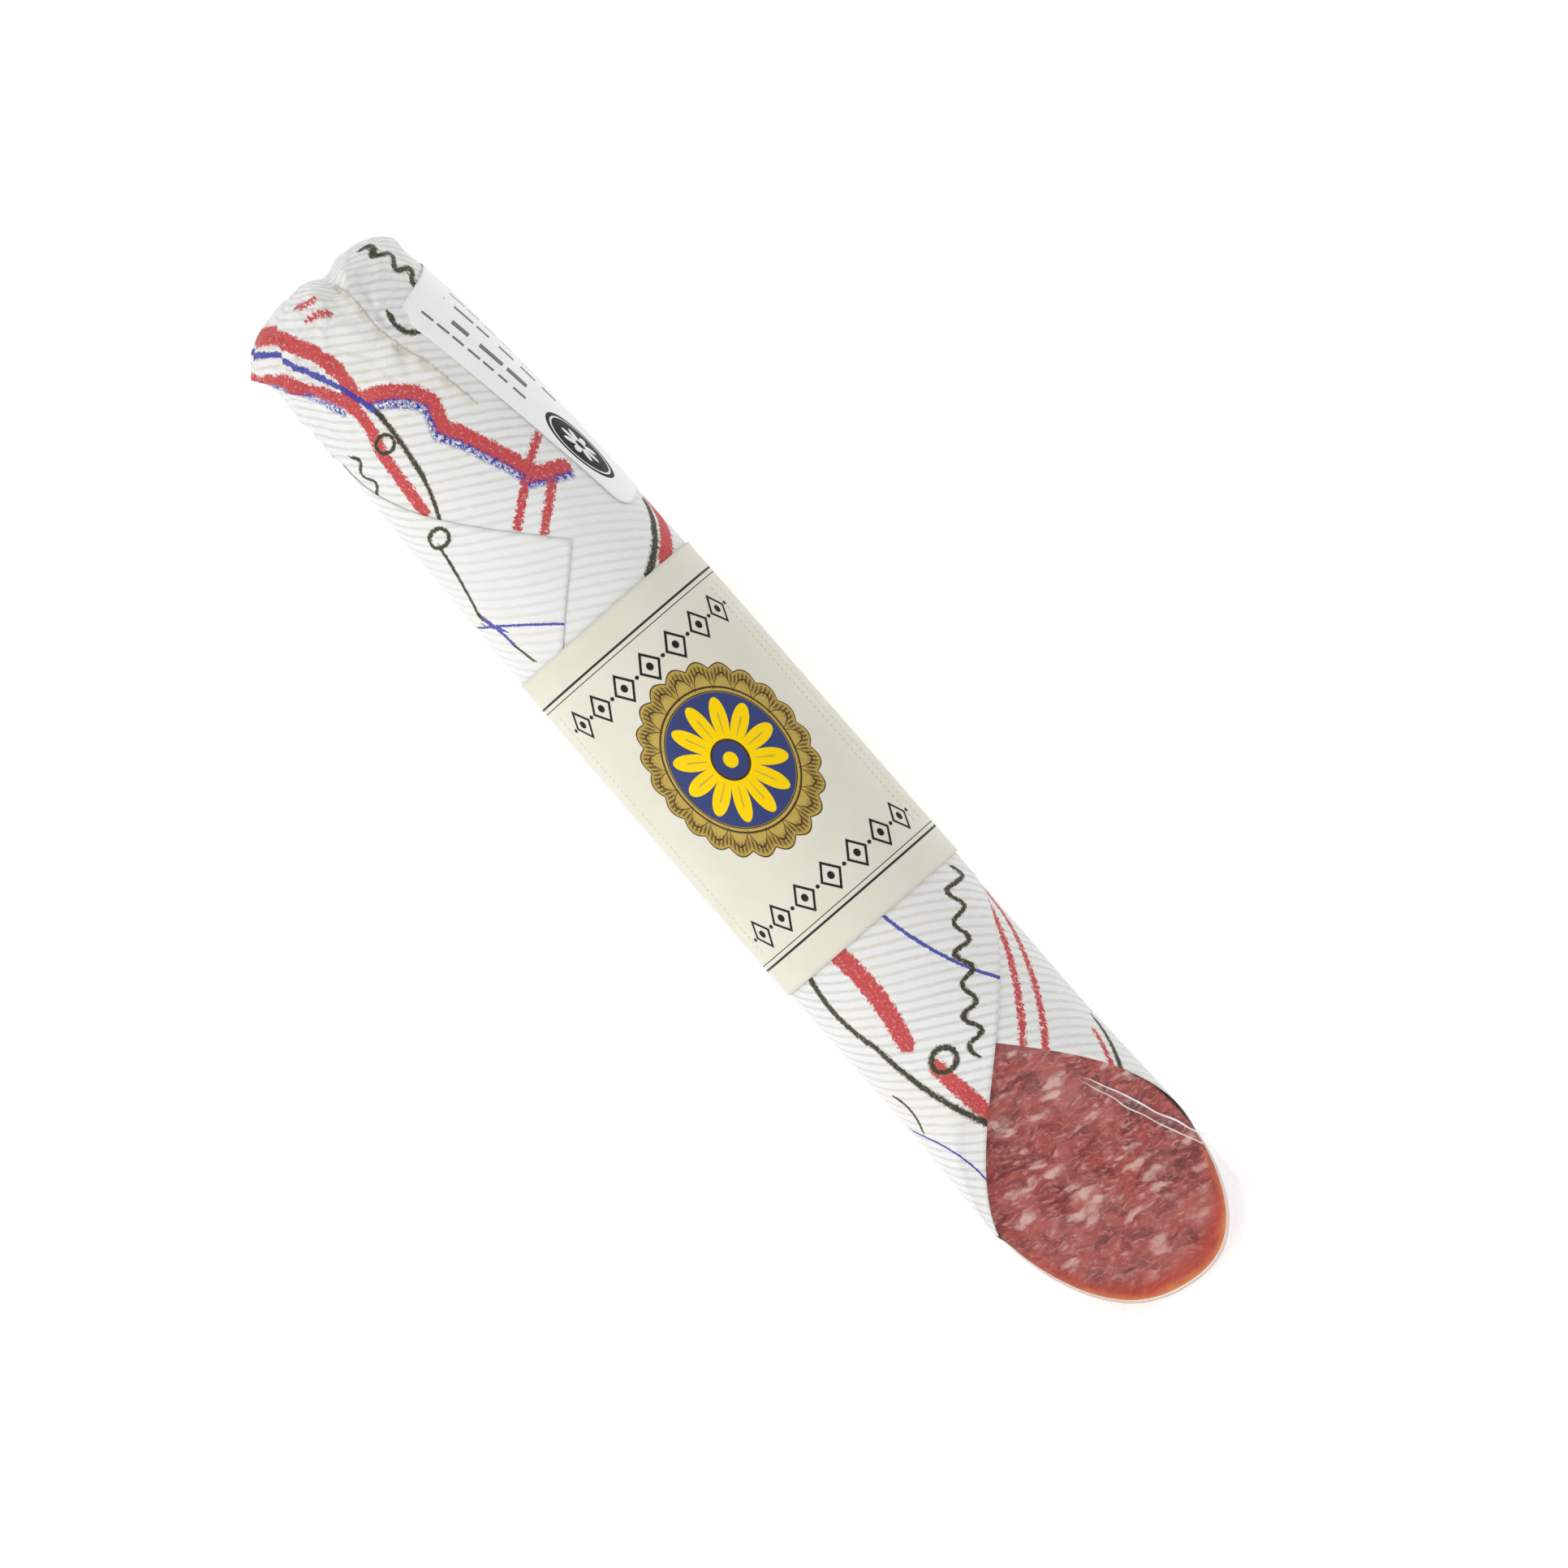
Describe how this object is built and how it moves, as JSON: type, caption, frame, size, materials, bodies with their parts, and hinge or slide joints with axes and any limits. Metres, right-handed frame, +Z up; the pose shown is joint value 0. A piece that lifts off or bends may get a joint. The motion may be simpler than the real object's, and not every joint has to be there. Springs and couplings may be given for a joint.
{
  "type": "cured sausage",
  "caption": "Cut cured sausage in clear film, rolled in a printed paper sheet with a paper band label and a sticker; lies flat with its slanted cut face showing.",
  "frame": {"origin": "under the middle of the whole object, on the surface it lies on", "axes": "+X along the sausage towards the tip of the slanted cut, +Y across it towards the side with the sticker, +Z up"},
  "size_m": [0.354, 0.0582, 0.0567],
  "materials": {
    "meat": "moist, marbled with pale fat, orange-brown rim",
    "clear_film": "clear, glossy, shrunk tight with small creases",
    "wrap_paper": "matt white machine-glazed paper with a faint grey rib and crayon-like print",
    "label_paper": null,
    "sticker_paper": "smooth white self-adhesive paper"
  },
  "bodies": {
    "root": {"sausage": "meat", "clear_film": "clear_film", "paper_wrap": "wrap_paper", "band_label": "label_paper", "sticker": "sticker_paper"}
  },
  "joints": []
}
